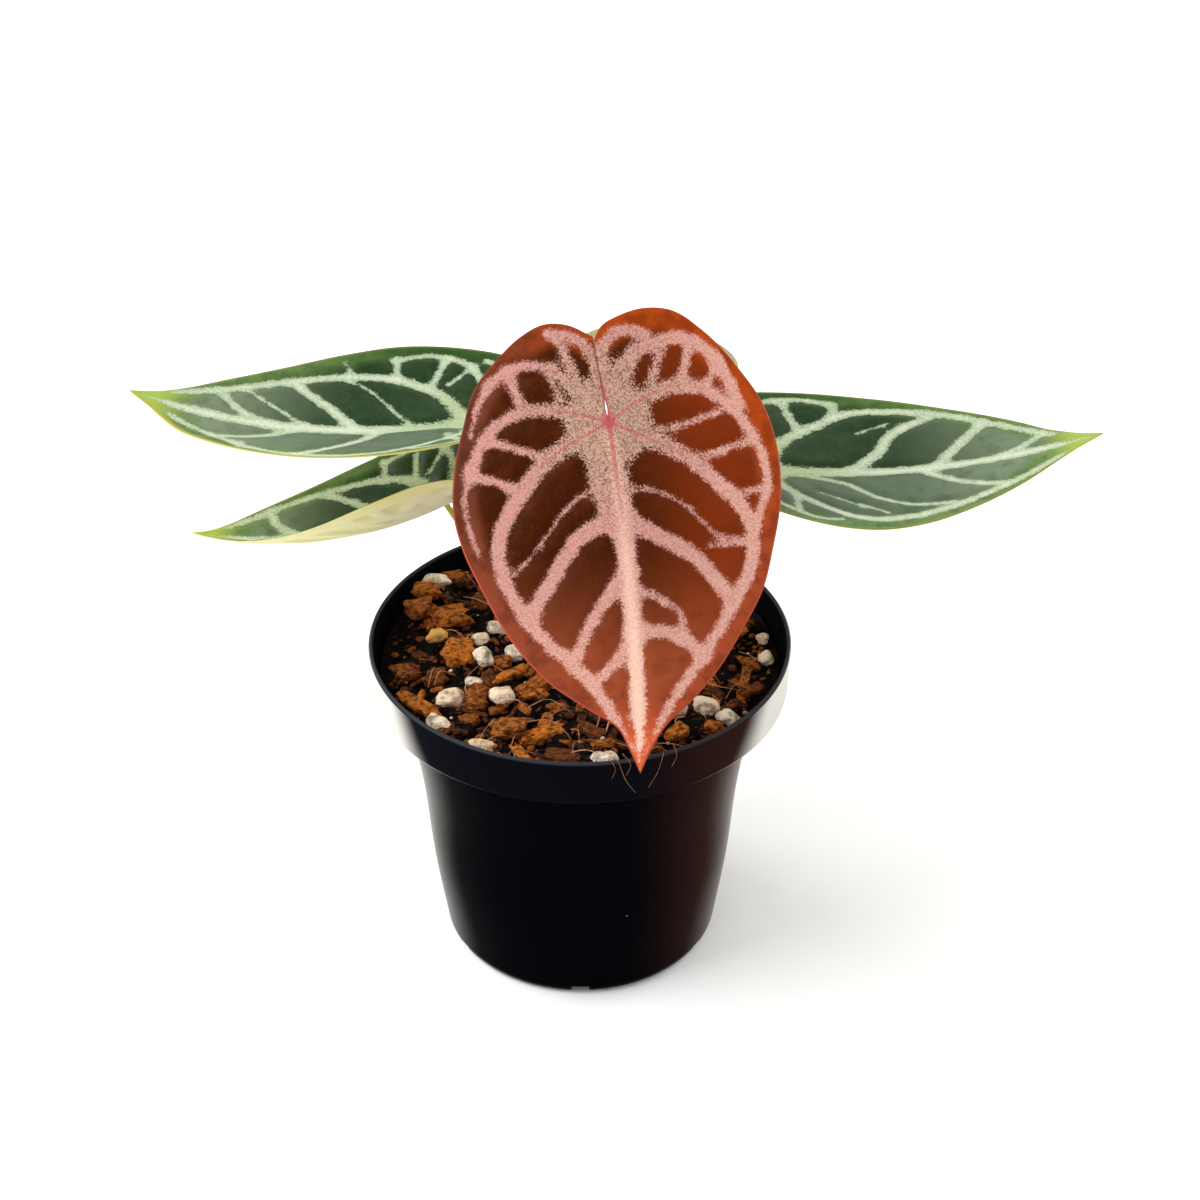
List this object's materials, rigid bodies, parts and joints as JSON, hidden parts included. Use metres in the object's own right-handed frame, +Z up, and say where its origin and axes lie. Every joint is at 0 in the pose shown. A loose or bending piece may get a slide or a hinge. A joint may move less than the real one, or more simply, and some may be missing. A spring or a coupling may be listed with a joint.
{
  "type": "potted anthurium",
  "caption": "Small anthurium with heart-shaped velvet leaves on slender petioles, rooted in bark mix in a round banded nursery pot that stands free on its base.",
  "frame": {"origin": "middle of the flat disc at the centre of the pot's base, on the surface that the pot stands on", "axes": "+Z up, -Y towards the front where the red leaf hangs, +X to the right seen from the front"},
  "size_m": [0.2395, 0.1619, 0.176],
  "materials": {
    "pot_plastic": "semi-gloss black moulded polypropylene",
    "potting_mix": "damp dark soil with coconut husk chips and perlite",
    "stem": "fleshy green stem with papery brown scales and pale roots",
    "petiole": "smooth waxy yellow-green stalk",
    "leaf_red": "velvety rust-red young leaf with pink sparkling veins",
    "leaf_green": "velvety dark green leaf with broad silvery veins"
  },
  "bodies": {
    "root": {"pot": "pot_plastic", "potting_mix": "potting_mix", "stem_and_roots": "stem", "petiole_red": "petiole", "petiole_left_upper": "petiole", "petiole_left_lower": "petiole", "petiole_right": "petiole", "petiole_back": "petiole", "blade_red": "leaf_red", "blade_left_upper": "leaf_green", "blade_left_lower": "leaf_green", "blade_right": "leaf_green", "blade_back": "leaf_green"}
  },
  "joints": []
}
